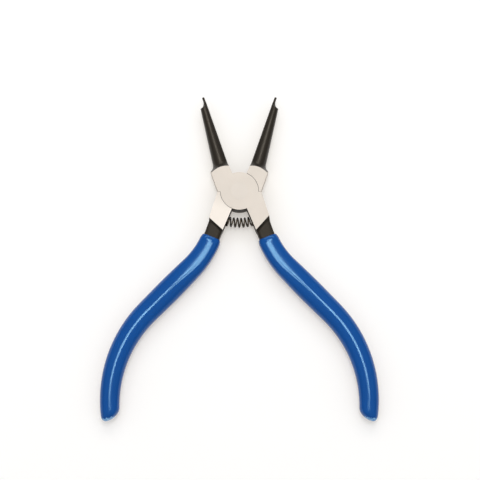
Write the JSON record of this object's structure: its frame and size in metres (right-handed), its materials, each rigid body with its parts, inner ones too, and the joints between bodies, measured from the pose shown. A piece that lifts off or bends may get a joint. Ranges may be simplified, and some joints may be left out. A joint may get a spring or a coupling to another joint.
{
  "type": "circlip pliers",
  "caption": "Lap-joint circlip pliers with straight round tips for internal rings, a return coil spring and dipped vinyl grips on curved handles.",
  "frame": {"origin": "on the pivot axis, on the lower ground face of the head", "axes": "+Z along the pivot axis, out of the front face; +Y along the middle line towards the tips; handles towards -Y"},
  "size_m": [0.1074, 0.127, 0.0086],
  "materials": {
    "lever_steel": "black oxide forging with bright ground faces on the head",
    "rivet_steel": "ground flush",
    "spring_steel": "black oxide wire",
    "grip_vinyl": "glossy dipped vinyl"
  },
  "bodies": {
    "front_lever": {"front_lever": "lever_steel", "pivot_rivet": "rivet_steel", "right_grip": "grip_vinyl", "return_spring": "spring_steel"},
    "rear_lever": {"rear_lever": "lever_steel", "left_grip": "grip_vinyl"}
  },
  "joints": [
    {"name": "jaw_pivot", "type": "hinge", "parent": "front_lever", "child": "rear_lever", "pos_m": [0, 0, 0], "axis": [0, 0, 1], "range_deg": [0, 39.6], "stiffness_Nm_per_rad": 0.48, "springref_deg": -8.59, "deforming": ["return_spring"]}
  ]
}
